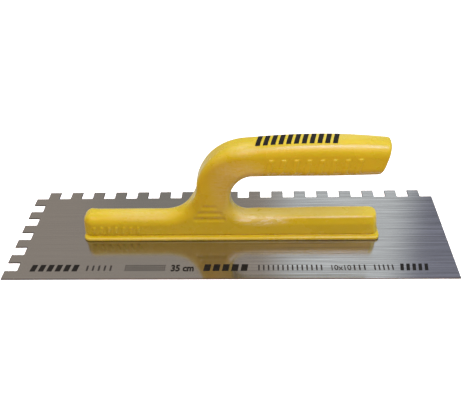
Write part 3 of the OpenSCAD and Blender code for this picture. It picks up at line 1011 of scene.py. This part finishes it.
def make_prints():
    """Plain marks in place of lettering: bold bars, fine ticks, a hatched block and two sizes."""
    ink = ink_material("black_ink", 10)
    soft_ink = ink_material("grey_ink", 46)
    fine_y0, fine_y1 = MARKS_Y0 + 0.6, MARKS_Y1 - 1.0
    for name, *row in BOLD_MARKS:
        print_on_blade(name, bar_row(*row), MARKS_Y0, MARKS_Y1, 0.12, ink)
    for name, *row in FINE_MARKS:
        print_on_blade(name, bar_row(*row), fine_y0, fine_y1, 0.0, soft_ink)
    for row in range(HATCHING_ROWS):
        y0 = MARKS_Y0 + 0.4 + HATCHING_PITCH * row
        print_on_blade("hatching_%d" % row, bar_row(*HATCHING), y0, y0 + HATCHING_H, 0.3, soft_ink)
    print_size("length_mark", "35 cm", -44.6, MARKS_Y0, 7.2, 0.7, 0.4, ink)
    print_size("notch_mark", "10x10", 78.2, fine_y0, 6.0, 0.76, 0.12, soft_ink)
    print_on_grip("grip_marks", bar_row(*GRIP_MARKS), -7.6, 6.6, 0.2, ink)


# ---------------------------------------------------------------- Surroundings

# Colours of the studio's walls, ceiling and table, as the steel and the plastic see them
ROOM_LEFT = (0.58, 0.505, 0.435, 1.0)
ROOM_DIM = (0.44, 0.42, 0.38, 1.0)
ROOM_WINDOW = (1.09, 1.15, 1.17, 1.0)
ROOM_RIGHT = (0.31, 0.33, 0.44, 1.0)
ROOM_FRONT = (0.31, 0.26, 0.22, 1.0)
CEILING_FRONT = (0.36, 0.30, 0.25, 1.0)
CEILING_BACK = (1.55, 1.55, 1.3, 1.0)
TABLE_FRONT = (0.64, 0.33, 0.22, 1.0)
TABLE_BACK = (0.58, 0.66, 0.6, 1.0)
# Half the floor's side and its height, in metres
FLOOR_REACH, FLOOR_Z = 12.0, -0.0002


def make_floor():
    """Plain floor just under the blade. The tool is lit by the room and not by the floor."""
    mesh = bpy.data.meshes.new("floor")
    corners = [(-1, -1), (1, -1), (1, 1), (-1, 1)]
    points = [(x * FLOOR_REACH, y * FLOOR_REACH, FLOOR_Z) for x, y in corners]
    mesh.from_pydata(points, [], [(0, 1, 2, 3)])
    mesh.materials.append(floor_material())
    floor = new_linked("floor", mesh)
    floor.visible_glossy = False
    floor.visible_diffuse = False


def make_world():
    """A grey room with a pale window and a bright ceiling behind, and a dim, warm front."""
    world = bpy.data.worlds.new("studio")
    bpy.context.scene.world = world
    n = Nodes(world, "ShaderNodeBackground", "ShaderNodeOutputWorld", "Generated")
    split = n.add("ShaderNodeSeparateXYZ")
    n.join(n.place, split.inputs[0])
    x, y, z = split.outputs
    sideways = n.math("DIVIDE", x, n.math("MAXIMUM", y, 0.01))
    spread = n.between(sideways, -0.5, 0.5)
    # The back wall from left to right. Its lower part also has a dim stretch left of the window
    window = (
        (0.50, ROOM_LEFT), (0.565, ROOM_WINDOW),
        (0.73, ROOM_WINDOW), (0.79, ROOM_RIGHT), (1.0, ROOM_RIGHT),
    )
    dim = ((0.18, ROOM_LEFT), (0.27, ROOM_DIM), (0.41, ROOM_DIM))
    low_back = n.ramp(spread, *dim, *window)
    high_back = n.ramp(spread, (0.0, ROOM_LEFT), *window)
    back = n.mix(n.between(z, 0.565, 0.615), low_back, high_back)
    back = n.mix(n.between(z, 0.68, 0.9), back, CEILING_BACK)
    front = n.mix(n.between(z, 0.45, 0.6), ROOM_FRONT, CEILING_FRONT)
    behind = n.between(y, -0.05, 0.15)
    room = n.mix(behind, front, back)
    table = n.mix(behind, TABLE_FRONT, TABLE_BACK)
    n.put(n.mix(n.between(z, -0.12, -0.08), table, room), n.shader.inputs["Color"])


LIGHT_AIM = (0.0, 0.0, 0.03)
# Name, place, size, power and colour
SOFT_BOXES = (
    ("top_box", (0.3, -0.5, 1.35), (0.8, 0.4), 11.4, (0.53, 0.65, 1.0)),
    ("front_box", (0.1, -0.9, 1.05), (1.2, 0.6), 6.0, (1.0, 0.44, 0.33)),
    ("left_box", (-0.9, -0.3, 1.0), (0.8, 0.8), 3.0, (1.0, 0.7, 0.35)),
    ("right_box", (1.0, -0.2, 0.9), (0.8, 0.8), 4.5, (0.95, 0.95, 0.65)),
)


def soft_light(name, place, size, power, colour):
    """A rectangular lamp in metres and watts, turned to the tool."""
    data = bpy.data.lights.new(name, "AREA")
    data.shape = "RECTANGLE"
    data.size, data.size_y = size
    data.energy = power
    data.color = colour
    light = new_linked(name, data)
    light.location = place
    light.rotation_euler = (Vector(LIGHT_AIM) - Vector(place)).to_track_quat("-Z", "Y").to_euler()


def make_lights():
    """Four tinted soft boxes round the tool."""
    for box in SOFT_BOXES:
        soft_light(*box)


# ---------------------------------------------------------------- Build


def paint_fixings(material):
    """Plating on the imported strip, rivets and screws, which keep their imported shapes."""
    for name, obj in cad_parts.items():
        if "rivet" in name or "screw" in name or name == "mounting_strip":
            obj.data.materials.clear()
            obj.data.materials.append(material)


bpy.context.scene.view_settings.view_transform = "Standard"
make_camera()
make_handle(plastic())
make_blade(brushed_steel())
paint_fixings(plated_steel())
make_prints()
make_floor()
make_world()
make_lights()
